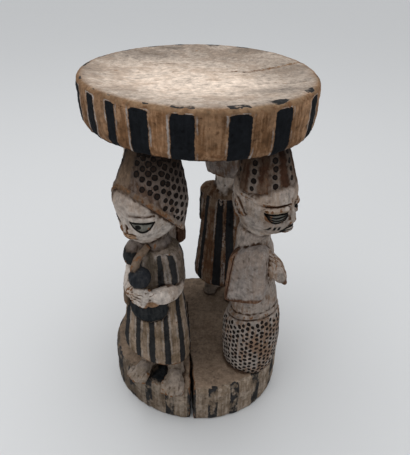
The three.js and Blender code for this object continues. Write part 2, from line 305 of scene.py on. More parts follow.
# Heights of eyes, nose and mouth, the half width and drop of an eye, and how far each stands out
FACE_PARTS = ("eye", "half", "drop", "depth", "eye_depth", "nose", "mouth", "mouth_depth")
MANS_FACE = dict(zip(FACE_PARTS, (255.5, 13, 11.5, 37, 29.5, 241.5, 233.5, 35)))
WOMANS_FACE = dict(zip(FACE_PARTS, (256, 14, 11.5, 40.5, 32.5, 242, 231.5, 40)))
EYE_ASIDE, EYE_TURN = 20, 43  # the middle of an eye, and how far its plane is turned from the front


def features(face):
    """A face in the traditional manner of these stools: large lidded eyes, broad nose, full lips."""
    forms = []
    half, eye, drop = face["half"], face["eye"], face["drop"]
    for side in (-1, 1):
        eye_forms = [
            lump("skin", (0, 0.6, -drop * 0.45), (half, 4.4, drop * 0.72)),
            lump("skin", (0, 0.4, 4.2), (half + 1.5, 5.4, 4.4), (-10, 0, 0)),
            limb(
                "skin",
                [(-half - 2, 3, 9, 2), (-4, 0.5, 13.5, 2.6), (8, 1.5, 13, 2.4), (half + 2, 5, 9, 1.6)],
            ),
        ]
        for form in eye_forms:
            if side < 0:
                form.data.transform(Matrix.Scale(-1, 4, (1, 0, 0)))
                form.data.flip_normals()
        forms += turned(eye_forms, side * EYE_TURN, (side * EYE_ASIDE, -face["eye_depth"], eye))
        forms.append(lump("skin", (side * 5, -face["depth"] + 0.5, face["nose"] - 0.5), (3.4, 4, 3.2)))
    depth, nose = face["depth"], face["nose"]
    bridge = [
        (0, 4 - depth, eye + 10, 3.6), (0, 2 - depth, eye, 4), (0, -depth - 0.5, nose + 4, 4.8),
        (0, -depth - 1, nose, 4.8), (0, 3 - depth, nose - 3.5, 3.6),
    ]
    forms.append(limb("skin", bridge))
    y, mouth = -face["mouth_depth"], face["mouth"]
    for rise, full in ((1.9, 2.0), (-1.9, 2.2)):
        corner, mid = mouth + rise * 0.4, mouth + rise
        lip = [
            (-13.5, y + 6, corner, 1.2), (-8, y + 1, mid, full), (0, y - 1.5, mid, full + 0.3),
            (8, y + 1, mid, full), (13.5, y + 6, corner, 1.2),
        ]
        forms.append(limb("skin", lip))
    return forms


def mans_head(flaps):
    """A man's bare head with its face, and his tall hood, open over the face with a raised edge."""
    forms = [
        carved(
            "skin",
            "z w d y square",
            (210, 14, 15, 0, 2), (223.5, 15.5, 22.5, -6.5, 2), (229, 23, 31, -5.5, 2),
            (239, 29.4, 35, -2.5, 2.3), (252, 32, 39, -1, 2.4), (268, 33, 42.5, -2, 2.3),
            (282, 33, 43.5, -2, 2.2), (298, 30, 34, 2, 2),
        ),
        *features(MANS_FACE),
    ]
    low = 221 if flaps else 231
    open_at, open_normal = ((0, -27, 275.5), (0, -1.42, -1)) if flaps else ((0, -38, 284), (0, -0.85, -1))
    hang_at, hang_normal = ((0, 20, low + 1), (0, 1.0, -1)) if flaps else ((0, 15, low), (0, 0.1, -1))

    def shell(grow):
        return carved(
            "hood",
            "z w d y square",
            (low - 10, 24 + grow, 17 + grow, 13, 2), (low + 4, 30.4 + grow, 25 + grow, 9, 2.2),
            (250, 37 + grow, 37 + grow, 0.5, 2.3), (270, 37.8 + grow, 42 + grow, -2, 2.3),
            (290, 33.6 + grow, 38 + grow, -0.5, 2.2), (315, 28 + grow, 29.6 + grow, 3.2, 2),
            (345, 21.5 + grow, 22.5 + grow, 6.5, 2),
        )

    hood = bisected(shell(0.6), open_at, open_normal)
    band = bisected(shell(1.5), open_at, open_normal)
    inward = Vector(open_normal).normalized() * -5
    band = bisected(band, Vector(open_at) + inward, -Vector(open_normal))
    forms += [bisected(form, hang_at, hang_normal) for form in (hood, band)]
    finished(band, "hood band")
    if flaps:
        # Its far edge, seen past the forehead
        far_edge = [
            (-8, -41, 291, 1.6), (-17, -38, 284, 2), (-26, -31.5, 273, 2.2), (-32, -21, 260, 2.2),
            (-34, -12, 249, 1.6),
        ]
        forms.append(limb("hood band", far_edge))
    return forms


def hand(at, point, tilt):
    """A hand laid flat across the body, its fingers pointing left (1) or right (-1)."""
    forms = [lump("skin", (-point * 4, 1.5, 0), (12, 6.5, 8.8))]
    for n in range(4):
        z = 6.3 - 4.2 * n
        reach = (17, 19, 18.5, 16)[n]
        finger = [(-3, -3, z, 2.5), (7, -4.6, z, 2.5), (reach, -1.2, z * 0.92, 1.9)]
        forms.append(limb("skin", [(point * x, *rest) for x, *rest in finger]))
    forms.append(limb("skin", [(-point * 6, -1, 6, 2.6), (0, -3.6, 10, 2.5), (point * 8, -3.4, 11.4, 2)]))
    for form in forms:
        form.data.transform(Matrix.Translation(at) @ Matrix.Rotation(math.radians(-tilt * point), 4, "Y"))
    return forms


def foot(ankle, toes):
    """A bare foot with five toes that bend a little over the rim of the base."""
    ax, ay = ankle
    tx, ty = toes
    turn = math.atan2(tx - ax, ay - ty)

    def along(share, z, radius):
        return ax + (tx - ax) * share, ay + (ty - ay) * share, z, radius

    forms = [
        limb("feet", [along(-0.15, 5, 8.5), along(0.15, 6.5, 9.5), along(0.5, 4, 10.5), along(0.85, 1, 8)]),
        lump(
            "feet",
            ((ax + 1.4 * tx) / 2.4, (ay + 1.4 * ty) / 2.4, 2.5),
            (13.8, 17, 6.2),
            (8, 0, math.degrees(turn)),
        ),
    ]
    for n in (-2, -1, 0, 1, 2):
        sx, sy = n * 6.1 * math.cos(turn), n * 6.1 * math.sin(turn)
        fall = 1 - 0.05 * abs(n)
        points = [(0.62, 5.5, 3.2), (0.9, 4.6, 3.5), (1.08 * fall, 1.6, 3.3), (1.14 * fall, -1.6, 2.5)]
        forms.append(limb("feet", [(x + sx, y + sy, z, r) for x, y, z, r in (along(*p) for p in points)]))
    return forms


def robed_man(man, hem_z, hem_tilt, feet, leg_radius, holds_gourd):
    """A standing man in a striped robe, in his own frame: x to his left, y backwards, z up. The one
    who holds a gourd has a short right sleeve and a hood with a flap."""
    # The other is broader at the shoulders, and holds his head to the right
    broad, neck_aside = (0, 0) if holds_gourd else (2, -5)
    robe = "shoulders" if holds_gourd else "back robe"
    forms = [
        carved(
            "skirt" if holds_gourd else "back robe",
            "z w d x tilt",
            (hem_z + 14, 22, 18, 0, 0), (hem_z + 12, 33, 27, 0, hem_tilt * 0.8),
            (hem_z + 1, 41.5 - broad / 2, 34, broad / 2 - 1, hem_tilt),
            (hem_z - 0.4, 43.3 - broad / 2, 36, broad / 2 - 1, hem_tilt),
            (hem_z + 2.4, 44.2 - broad / 2, 36.8, broad / 2 - 1, hem_tilt),
            (70, 43.6 - broad / 2, 36.3, broad / 2 - 1, hem_tilt / 2),
            (100, 39.6 - broad / 2, 33.7, broad / 2 - 1, 0), (135, 34.2, 30.2, 0, 0),
            (160, 31.4, 27.4, 1, 0), (170, 28, 24, 1, 0),
            sides=24,
        ),
        carved(
            robe,
            "z w d x y",
            (148, 28, 24, 0.5, 0), (156, 31.6, 27.6, 0.8, 0), (166, 31.2, 27.2, 1, 0),
            (192, 31, 25, 1, 0), (205, 25, 21.5, 1 - broad, 0),
            (212 - broad, 18, 18, neck_aside or 0.5, 0), (226, 13, 16, neck_aside * 1.2, -1),
            sides=24,
        ),
        # Collar round the neck
        carved(
            "collar",
            "z w d x y",
            (203, 12, 12, 0, 0), (206 - broad * 2, 21.5, 20, neck_aside or 1, -0.5),
            (211 - broad * 1.5, 20, 20, neck_aside or 0.5, -1), (221, 16.4, 18.4, neck_aside, -1),
            (226, 15, 16, 0, -1),
        ),
    ]
    for ankle, toes in feet:
        x, y = ankle
        forms.append(
            carved(
                "feet",
                "z w x y",
                (-5, leg_radius + 1, x, y + 2), (0, leg_radius + 0.6, x, y + 2),
                (10, leg_radius - 0.5, x, y + 3), (hem_z + 12, leg_radius + 1.5, x * 0.9, y + 5),
                sides=16,
            )
        )
        forms += foot(ankle, toes)

    def long_sleeve(side):
        lift = 3.5 * holds_gourd
        return carved(
            robe,
            "z w d x y square",
            (154 + lift, 12, 17, side * 20, -3, 2.4), (149 + lift, 15, 21, side * 20, -3, 2.5),
            (149.6 + lift, 16.8, 22.8, side * 20, -3, 2.5),
            (156 + lift, 16.6, 22.6, side * 20, -3, 2.5), (178, 16.2, 22.2, side * 20, -3, 2.5),
            (197, 14.6 + broad, 19.6, side * 19.5, -1.5, 2.5),
            (207 - 2 * broad, 10.5 + 2.6 * broad, 15.5, side * (16.5 + broad), 0, 2.6),
            (211 - 2 * broad, 6 + 2 * broad, 9, side * 14, 0, 2),
        )

    if holds_gourd:
        right_sleeve = carved(
            "collar",
            "z w d x y slope",
            (190, 9, 11, -23, -5, 0.3), (187, 12.4, 15.4, -23.6, -5, 0.3),
            (190, 12.8, 15.8, -23.6, -5, 0.3), (198, 12.5, 16.5, -23, -4, 0.2),
            (208, 10.5, 14, -18, -2, 0), (214, 6, 9, -12, -1, 0),
        )
    else:
        right_sleeve = long_sleeve(-1)
    forms += [right_sleeve, long_sleeve(1)]
    elbow = 26 if holds_gourd else 33
    right_arm = [
        (5 - elbow, -5, 188, 9), (-elbow, -8, 168, 8.6), (-elbow, -20, 156, 8.6),
        (-19, -34, 159, 8), (-10, -43, 163, 7.6),
    ]
    left_arm = [
        (27, 0, 164, 8.4), (30, -8, 155.5, 9.6), (27, -26, 155.5, 10.8), (17, -38, 158.5, 10.4),
        (7, -44, 160, 8.6),
    ]
    forms += [limb("skin", right_arm), limb("skin", left_arm)]
    forms += hand((-7, -45, 164), 1, 8)
    forms += hand((3, -46.5, 157), -1, 10)
    forms += turned(mans_head(holds_gourd), man["head_faces"] - man["faces"], (*man["head_at"], 0))
    if holds_gourd:
        forms += [
            lump("gourd", (-4.5, -43, 186), (12.8, 12.8, 12.8)),
            limb(
                "gourd neck",
                [(-10, -44, 195, 4.6), (-9, -42, 203, 4.6), (-6, -35, 210, 4.4), (0, -22, 215, 4)],
            ),
            # The black lower bulb of the gourd, under his hands
            lump("shadow", (-1.5, -26, 129), (24, 12.5, 22)),
            # The end of the far sleeve, hanging under the arm
            carved(
                "gourd neck",
                "z w d x y",
                (118, 4, 9, -31, -10), (124, 5, 12, -32, -10), (146, 5.5, 12, -32, -11),
                (158, 5, 11, -29, -11),
                sides=16,
            ),
            # Painted shade: a blue-black filling at the back between his legs, where the hollow under his
            # robe lies in shade
            carved(
                "shadow",
                "z w d x y",
                (-5, 25, 11, 4, 14), (hem_z + 14, 28, 14, 2, 12),
                sides=16,
                smooth=1,
            ),
        ]
    else:
        # His broad bare neck, and the point of the neckline down his back
        forms.append(
            carved(
                "skin",
                "z w d x y",
                (184, 2, 4, -6, 21), (192, 8, 9, -6, 15), (203, 15, 17, -5, 4),
                (214, 17, 20, -5, -1), (240, 17, 20, -5, -2),
            )
        )
    return forms


def stand(forms, figure):
    """Stands a figure's forms on the base, and adds them to the block."""
    a = math.radians(figure["angle"])
    at = (figure["out"] * math.sin(a), -figure["out"] * math.cos(a), BASE_TOP)
    stool_forms.extend((figure, form) for form in turned(forms, figure["faces"], at))


stand(
    robed_man(
        FRONT_MAN,
        hem_z=43,
        hem_tilt=-0.3,
        feet=[((-14, -4), (-24, -31)), ((25, -8), (29, -43))],
        leg_radius=11,
        holds_gourd=True,
    ),
    FRONT_MAN,
)

# Right woman
# She kneels at the right, bare above a spotted wrapper that covers her folded legs. Her arms hang
# as flat square-cut slabs, and her tall cap has flat facets, every other one with a row of spots.
RIGHT_WOMAN = {"angle": 52, "out": 92, "faces": 58, "head_faces": 54, "head_at": (0, 0), "style": 2}
finish("her skin", paint=(0.41, 0.355, 0.315), mingled=(0.26, 0.205, 0.165), chipped=-0.14, grimy=1.0)
finish("wrapper", paint=(0.31, 0.27, 0.24), mingled=(0.175, 0.115, 0.08), chipped=-0.02, grimy=0.9)
finish("bare skin", paint=(0.33, 0.28, 0.245), mingled=(0.18, 0.125, 0.09), chipped=-0.06, grimy=1.0)
finish("arms", paint=(0.30, 0.26, 0.235), mingled=(0.205, 0.165, 0.14), chipped=-0.32, grimy=1.0)
# Rubbed brown wood, darkened further with painted shade where it is used on the backs of the arms
finish("arm edges", paint=(0.10, 0.052, 0.032), mingled=(0.18, 0.115, 0.082), chipped=-0.04, grimy=1.0)
finish("cap", paint=(0.28, 0.235, 0.205), mingled=(0.145, 0.098, 0.07), chipped=-0.04)


def kneeling_woman(woman, nipples):
    """A kneeling woman, in her own frame: x to her left, y backwards, z up."""
    forms = [
        carved(
            "wrapper",
            "z w d y slope",
            (-5, 30, 30, -2, 0), (-1, 33, 33, -2, 0), (7, 36, 35.6, -2, 0), (22, 37.8, 37.6, -2, 0),
            (40, 38.4, 38.4, -2, 0), (62, 38.2, 38.4, -2, 0), (80, 36.2, 36.8, -2, -0.15),
            (90, 34, 35, -2, -0.3), (94, 30, 31, -2, -0.3),
            sides=24,
        ),
        carved(
            "bare skin",
            "z w d y slope",
            (84, 29, 30, -2, 0), (110, 29.6, 31, -2, 0), (126, 28.2, 29, -2, 0),
            (148, 27, 24, 1, 0), (178, 30.4, 24.2, 3, -0.15), (191, 26.5, 22, 4, -0.2),
            (200, 18.6, 20.5, 6, -0.2), (226, 17.2, 21, 5.5, 0),
            sides=24,
        ),
        # The rolled edge of the wrapper at her waist
        carved(
            "bare skin",
            "z w d y slope",
            (91, 28, 29, -2, -0.3), (92, 32.6, 33.8, -2, -0.3), (98, 32.2, 33.4, -2, -0.3),
            (101, 28, 29, -2, -0.3),
            sides=24,
        ),
    ]
    for side in (-1, 1):
        reach, back = (0, 0) if side < 0 else (-12, 11)
        slab = [
            (127, 0.4, 6, 18, -0.35), (126.5, 0.4, 10, 23.5, -0.35), (130, 0.4, 11, 26, -0.38),
            (136, 0.4, 11, 27, -0.4), (165, -0.4, 10.4, 25.4, -0.35), (188, -2, 10, 23.6, -0.3),
            (195, -3.4, 9.6, 22.6, -0.34), (199, -7, 7.5, 20, -0.38), (201.5, -11, 4.5, 15, -0.4),
        ]
        rows = [(z, w, d + reach, side * (29 + x), -3 + back, slope, 4.5) for z, x, w, d, slope in slab]
        forms.append(carved("arms", "z w d x y slope square", *rows, sides=32, smooth=1))
    for x, y, z in nipples:
        full = 9 if y > -35 else 12
        breast = [
            (x * 0.9, -8, 194, 9), (x, y + 24, z + 23, full), (x, y + 13, z + 13, full),
            (x, y + 4, z + 4, 7.5), (x, y, z, 3.4),
        ]
        forms.append(limb("bare skin", breast, sides=12))
        forms.append(lump("bare skin", (x, y, z), (3.6, 3.2, 3.4)))
    head = [
        carved(
            "skin",
            "z w d y slope square",
            (208, 15, 18, 6, 0, 2), (224.5, 17.5, 25, -2, 0.12, 2),
            (230.5, 24.5, 33, -5.5, 0.12, 2), (239, 29, 35.6, -6, 0.05, 2.3),
            (250, 31.2, 35, -5.5, 0, 2.5), (264, 31.6, 35, -5, 0, 2.5), (268, 33, 36.2, -5, 0, 2.5),
            (280, 32.4, 35.4, -5, 0, 2.4), (296, 30, 31, -4, 0, 2),
        ),
        *features(WOMANS_FACE),
        # Cap
        carved(
            "cap",
            "z w d y slope",
            (281, 29, 28, -5.5, -0.11), (278, 33.4, 32.6, -5.5, -0.11),
            (279, 34.8, 33.8, -5.5, -0.11), (292, 33, 31.8, -4.4, -0.08), (345, 22.6, 22.6, 3.6, 0),
            sides=18,
            smooth=0,
        ),
    ]
    # The wrapped band over the forehead, and the slanting folds from the ear to the nape
    folds = [
        [(33, 8, 274, 1.5), (32.5, -14, 269, 2.4), (24, -33, 267.5, 2.6), (5, -41, 268.5, 2.2)],
        [(32, -6, 277, 1.2), (27, -29, 274, 1.8), (12, -39, 274, 1.5)],
        [(22, 24, 272, 2), (29, 15, 263, 2.8), (31.5, 8, 253, 3), (31, 3, 246, 1.6)],
        [(18, 27, 262, 1.6), (26, 20, 252, 2.4), (29.5, 12, 242, 2.2)],
    ]
    for side in (-1, 1):
        head += [limb("skin", [(side * x, *rest) for x, *rest in fold]) for fold in folds]
    for form in head:
        if form["finish"] == "skin":
            finished(form, "her skin")
    return forms + turned(head, woman["head_faces"] - woman["faces"])


stand(kneeling_woman(RIGHT_WOMAN, nipples=[(-13, -46, 161), (4, -26, 163)]), RIGHT_WOMAN)

# Back man
# A second standing man at the back right, with both sleeves long and his hands laid together. He
# is cut from the same block, and the seat rests on his hood as it does on the others' heads.
BACK_MAN = {"angle": 152, "out": 80, "faces": 152, "head_faces": 150, "head_at": (-6, -8), "style": 1}
finish(
    "back robe",
    paint=(0.12, 0.062, 0.034),
    mingled=(0.16, 0.11, 0.075),
    stripes=[
        *((138, 152), (184, 204), (214, 234), (255, 270), (292, 306), (328, 342), (4, 18)),
        *((40, 54), (76, 90), (108, 122)),
    ],
    fade=0.9,
    span=(-99, 196),
)
stand(
    robed_man(
        BACK_MAN,
        hem_z=50,
        hem_tilt=0,
        feet=[((-20, -6), (-23, -40)), ((20, -6), (23, -40))],
        leg_radius=9,
        holds_gourd=False,
    ),
    BACK_MAN,
)

# Back woman
# A second kneeling woman at the back left, cut from the same block. The front man hides her, so she
# is made like the first and is plainer.
BACK_WOMAN = {"angle": 232, "out": 74, "faces": 232, "head_faces": 232, "head_at": (0, 0), "style": 2}
stand(kneeling_woman(BACK_WOMAN, nipples=[(-14, -42, 160), (14, -42, 160)]), BACK_WOMAN)

# The block
# All the forms are one piece of wood: they are joined, and the joints between them closed up. An
# adze and a knife have left their marks all over, and eyes, lips and hems are cut in with a point.
figures = [FRONT_MAN, RIGHT_WOMAN, BACK_MAN, BACK_WOMAN]
number = {name: n for n, name in enumerate(FINISHES)}
source_points, source_faces, source_finish, source_owner = [], [], [], []
for owner, form in stool_forms:
    start = len(source_points)
    source_points += [v.co.copy() for v in form.data.vertices]
    source_faces += [[start + i for i in face.vertices] for face in form.data.polygons]
    source_finish += [number[form["finish"]]] * len(form.data.polygons)
    source_owner += [-1 if owner == "block" else figures.index(owner)] * len(form.data.polygons)
nearest_form = BVHTree.FromPolygons(source_points, source_faces)

bpy.ops.object.select_all(action="DESELECT")
for _, form in stool_forms:
    form.select_set(True)
bpy.context.view_layer.objects.active = base
bpy.ops.object.join()
stool = bpy.context.object
stool.name = "carved_stool"
apply_modifier(stool, "REMESH", mode="VOXEL", voxel_size=VOXEL)
apply_modifier(stool, "SMOOTH", factor=0.5, iterations=2)


def tool_marks(kind, size, depth):
    """Roughens the surface as an adze and a knife leave it."""
    marks = bpy.data.textures.new("marks", kind)
    marks.noise_scale = size
    apply_modifier(stool, "DISPLACE", texture=marks, strength=depth, mid_level=0.5, texture_coords="LOCAL")


def points_of(mesh, what="co"):
    """The points of a mesh, or their normals, one row each."""
    places = np.empty(len(mesh.vertices) * 3, np.float32)
    mesh.vertices.foreach_get(what, places)
    return places.reshape(-1, 3).astype(np.float64)


evenly = points_of(stool.data)
tool_marks("CLOUDS", 24, 1.6)
tool_marks("VORONOI", 9, 1.2)
tool_marks("CLOUDS", 5, 0.9)


def in_frame(points, figure, head):
    """Points in a figure's own frame, or in its head's: x to its left, y backwards, z up."""
    a = math.radians(figure["angle"])
    turn = math.radians(figure["head_faces"] if head else figure["faces"])
    x = points[..., 0] - figure["out"] * math.sin(a)
    y = points[..., 1] + figure["out"] * math.cos(a)
    across = x * math.cos(turn) + y * math.sin(turn)
    back = y * math.cos(turn) - x * math.sin(turn)
    if head:
        across, back = across - figure["head_at"][0], back - figure["head_at"][1]
    return np.stack([across, back, points[..., 2] - BASE_TOP], -1)


def eye_plane(local, style):
    """Where points are on the nearer eye: along it and up it as shares of the eye, and off it."""
    face = MANS_FACE if style == 1 else WOMANS_FACE
    turn = math.radians(EYE_TURN)
    out, back = np.abs(local[..., 0]) - EYE_ASIDE, local[..., 1] + face["eye_depth"]
    along = out * math.cos(turn) + back * math.sin(turn)
    off = out * math.sin(turn) - back * math.cos(turn)
    return along / face["half"], (local[..., 2] - face["eye"]) / face["drop"], off


def vee(distance, width):
    """A V-shaped cut: 1 along its middle and 0 from its edges outwards."""
    return np.clip(1 - np.abs(distance) / width, 0, 1)


def to_path(points, path):
    """How far points are from a path, seen from above."""
    best = np.full(len(points), 1e9)
    for start, end in zip(path, path[1:]):
        start, way = np.array(start), np.subtract(end, start)
        share = np.clip(((points[:, :2] - start) @ way) / (way @ way), 0, 1)
        best = np.minimum(best, np.linalg.norm(points[:, :2] - start - share[:, None] * way, axis=1))
    return best


SEAT_CRACKS = [
    [(37, 14.6), (53, 9), (67, 18.5), (82, 24), (100, 32), (114, 37.5), (134, 45)],
    [(79, -36), (96, -41), (112, -40)],
    [(-60, 40), (-39, 46), (-12, 44)],
]
places = points_of(stool.data)
# The flat tops have been rubbed smoother than the rest
faces_up = points_of(stool.data, "normal")[:, 2] > 0.7
rubbed = (evenly[:, 2] > 443) | ((np.abs(evenly[:, 2] - BASE_TOP) < 1.5) & faces_up)
places[rubbed] = 0.62 * evenly[rubbed] + 0.38 * places[rubbed]
push = np.zeros(len(places))
on_seat = places[:, 2] > 440
for crack_path, width, depth in zip(SEAT_CRACKS, (1.8, 1.2, 1.2), (2.6, 1.1, 1.0)):
    push[on_seat] -= depth * vee(to_path(places[on_seat], crack_path), width)
on_base = (places[:, 2] > 58) & (places[:, 2] < 68)
push[on_base] -= 2.0 * vee(to_path(places[on_base], [p[:2] for p in BASE_CRACK]), 1.8)
BETWEEN_FEET = (3, -15)  # the dark hollow under the front man
hollow = in_frame(places[on_base], FRONT_MAN, head=False)[:, :2] - BETWEEN_FEET
push[on_base] -= 2.2 * np.clip(1.2 - np.linalg.norm(hollow, axis=1) / 17, 0, 1)
for figure in figures:
    body = in_frame(places, figure, head=False)
    if figure["style"] == 1:
        # Fingers
        hands = (np.abs(body[:, 2] - 160) < 12) & (np.abs(body[:, 0] + 2) < 16) & (body[:, 1] < -38)
        push[hands] -= 0.3 * vee((body[hands, 2] - 0.3 * body[hands, 0]) % 4.6 - 2.3, 1.2)
    else:
        # The edge of each arm, and the strokes of the knife that radiate over breasts and arms
        arm = (np.abs(body[:, 0]) > 34) & (body[:, 2] > 130) & (body[:, 2] < 197)
        arm &= np.abs(body[:, 1]) < 40
        push[arm] -= 1.2 * vee(body[arm, 1] - 15.5 + 0.1 * (body[arm, 2] - 160), 1.3)
        breast = (np.abs(body[:, 0]) < 30) & (body[:, 1] < -20)
        breast &= (body[:, 2] > 140) & (body[:, 2] < 195)
        push[breast] -= 0.55 * vee((body[breast, 0] + 0.25 * body[breast, 1]) % 3.6 - 1.8, 1.1)
    local = in_frame(places, figure, head=True)
    near = (np.hypot(local[:, 0], local[:, 1]) < 60) & (local[:, 1] < 4)
    near &= (local[:, 2] > 215) & (local[:, 2] < 290)
    along, up, off = eye_plane(local[near], figure["style"])
    lower = np.clip(1 - along**2, 0, 1)
    at_eye = (np.abs(off) < 11) & (np.abs(along) < 1.06)
    cuts = 1.1 * vee((up + lower) * 11, 1.4) + 1.0 * vee(up * 11, 1.3)
    if figure["style"] == 2:
        cuts += 0.7 * vee((up + lower * 0.68) * 11, 1.1) + 0.7 * vee((up + lower * 0.36) * 11, 1.1)
        cuts += 1.0 * vee((up - 0.85) * 11, 1.8)
    else:
        cuts += 0.8 * vee((up - 0.72) * 11, 1.8)
    push[near] -= cuts * at_eye
places += points_of(stool.data, "normal") * push[:, None]
stool.data.vertices.foreach_set("co", places.ravel().astype(np.float32))
stool.data.update()


def neighbours(mesh):
    """Pairs of points that an edge joins, both ways round, and how many each point has."""
    edges = np.empty(len(mesh.edges) * 2, np.int32)
    mesh.edges.foreach_get("vertices", edges)
    edges = edges.reshape(-1, 2)
    ends = np.concatenate([edges[:, 0], edges[:, 1]])
    others = np.concatenate([edges[:, 1], edges[:, 0]])
    return ends, others, np.bincount(ends, minlength=len(mesh.vertices))[:, None]


def evened(values, joined, passes):
    """Values of points, each brought to the mean of its neighbours' a number of times."""
    ends, others, count = joined
    for _ in range(passes):
        sums = [np.bincount(ends, values[others, k], len(values)) for k in range(values.shape[1])]
        values = np.stack(sums, 1) / count
    return values


def store(mesh, name, values, domain="POINT"):
    """Keeps a value or a vector for each point or corner of a mesh, for the materials to read."""
    values = np.asarray(values, np.float32)
    kind, field = ("FLOAT_VECTOR", "vector") if values.ndim == 2 else ("FLOAT", "value")
    layer = mesh.attributes.get(name) or mesh.attributes.new(name, kind, domain)
    layer.data.foreach_set(field, values.ravel())


# How far each point stands out of the surface round it, over about 3 mm and about 10 mm
joined = neighbours(stool.data)
places, normals = points_of(stool.data), points_of(stool.data, "normal")
smoothed = places
for name, reach in (("fine_relief", 3.5), ("broad_relief", 11)):
    smoothed = evened(smoothed, joined, round((reach / VOXEL) ** 2 / 8))
    store(stool.data, name, ((places - smoothed) * normals).sum(1))
apply_modifier(stool, "TRIANGULATE")
TRIANGLES = 196000
apply_modifier(stool, "DECIMATE", ratio=min(1, TRIANGLES / len(stool.data.polygons)))

# Where each point is in its figure's frame, and how it is painted
mesh = stool.data
places, normals = points_of(mesh), points_of(mesh, "normal")
found = [nearest_form.find_nearest(Vector(p))[2] for p in places]
painted = np.array(source_finish)[found]
owner = np.array(source_owner)[found]
for disc, lowest, steepest in (("seat", 443, 0.9), ("base", 50, 0.85)):
    on_top = (places[:, 2] > lowest) & (normals[:, 2] > steepest)
    painted[on_top & (painted == number[disc + " side"])] = number[disc + " top"]
local = places - (0, 0, BASE_TOP)
head_finish_numbers = [number[n] for n in ("hood", "hood front", "hood band", "cap")]
on_head = (local[:, 2] > 206) | np.isin(painted, head_finish_numbers)
style = np.zeros(len(places))
eye_at = np.zeros_like(places)
for k, figure in enumerate(figures):
    for head in (False, True):
        chosen = (owner == k) & (on_head == head)
        local[chosen] = in_frame(places[chosen], figure, head)
    face_skin = "skin" if figure["style"] == 1 else "her skin"
    on_face = (owner == k) & (painted == number[face_skin])
    on_face &= (local[:, 2] > 218) & (local[:, 1] < 0)
    style[on_face] = figure["style"]
    along, up, off = eye_plane(local[on_face], figure["style"])
    eye_at[on_face] = np.stack([along, up, style[on_face]], -1)


def repaint(where, old, new):
    """Changes the finish of points that hold one of the old finishes."""
    painted[where & np.isin(painted, [number[n] for n in old])] = number[new]


on_front_man = owner == 0
turn = np.degrees(np.arctan2(local[:, 0], -local[:, 1]))
# Painted shade: the base top in the hollow between his feet is painted blue-black
hollow = in_frame(places, FRONT_MAN, head=False)[:, :2] - BETWEEN_FEET
repaint(np.linalg.norm(hollow, axis=1) < 16, ["base top"], "shadow")
# The front of the front man's hood has no spots
repaint(on_front_man & (np.abs(turn + 4) < 17), ["hood"], "hood front")
# The edges of the women's arms are rubbed brown, and their backs are darkened further with painted shade
back_edge = local[:, 1] > 13.5 - 0.1 * (local[:, 2] - 160)
repaint(back_edge | (local[:, 2] + 0.35 * local[:, 1] < 132), ["arms"], "arm edges")
# Painted shade darkens the far sleeve below, and hands and breasts are rubbed to the wood in places
repaint(on_front_man & (local[:, 0] < -10) & (local[:, 2] < 200), ["collar"], "shadow")
for figure, head, at, reach, onto in (
    (FRONT_MAN, False, (10, -46, 152), 8.5, "worn skin"),
    (RIGHT_WOMAN, False, (-13, -46, 161), 5.5, "arm edges"),
    (BACK_WOMAN, False, (-14, -42, 160), 5.5, "arm edges"),
    (BACK_WOMAN, False, (14, -42, 160), 5.5, "arm edges"),
    (FRONT_MAN, True, (-9, -38, 251.5), 3.6, "shadow"),  # the corner of his far eye
):
    near = np.linalg.norm(in_frame(places, figure, head) - at, axis=1) < reach
    repaint(near, ["skin", "bare skin"], onto)
# His far temple, in the shade of the hood
high = local[:, 2] > np.maximum(258, 291 + turn)
repaint(on_front_man & (turn < -17) & high, ["skin"], "hood")
# Grime in the joints between forms
table = list(FINISHES.values())
joined = neighbours(mesh)
same_form = {
    **{"seat top": "seat side", "base top": "base side", "hood front": "hood"},
    **{"hood band": "hood", "arm edges": "bare skin", "arms": "bare skin", "worn skin": "skin"},
}
form_of = np.array([number[same_form.get(n, n)] for n in number])[painted]
shares = evened(np.eye(len(table))[form_of], joined, 2)
store(mesh, "seam", np.clip(2 * (1 - (shares**2).sum(1)), 0, 1))
# Every second facet of the caps is spotted, the others are stained red-brown
ground = np.array([f["paint"] for f in table])[painted]
mingled = np.array([f["mingled"] for f in table])[painted]
plain_facet = (painted == number["cap"]) & (np.abs((turn + 120) % 40 - 20) < 10)
ground[plain_facet] = (0.10, 0.05, 0.031)
# The seat is palest where it is sat on, and soot and painted shade darken the heads under it
worn = np.linalg.norm((places[:, :2] + (18, 28)) / (105, 72), axis=1)
on_top = painted == number["seat top"]
tone_and_painted_light = np.where(on_top, 1.08 - 0.5 * np.clip(worn - 0.45, 0, 1), 1.0)
under_seat = (owner >= 0) | (places[:, 2] < 400)
soot_and_painted_shade = np.clip((places[:, 2] - np.where(on_front_man, 320, 328)) / 60, 0, 1) * under_seat
tone_and_painted_light *= 1 - 0.8 * soot_and_painted_shade
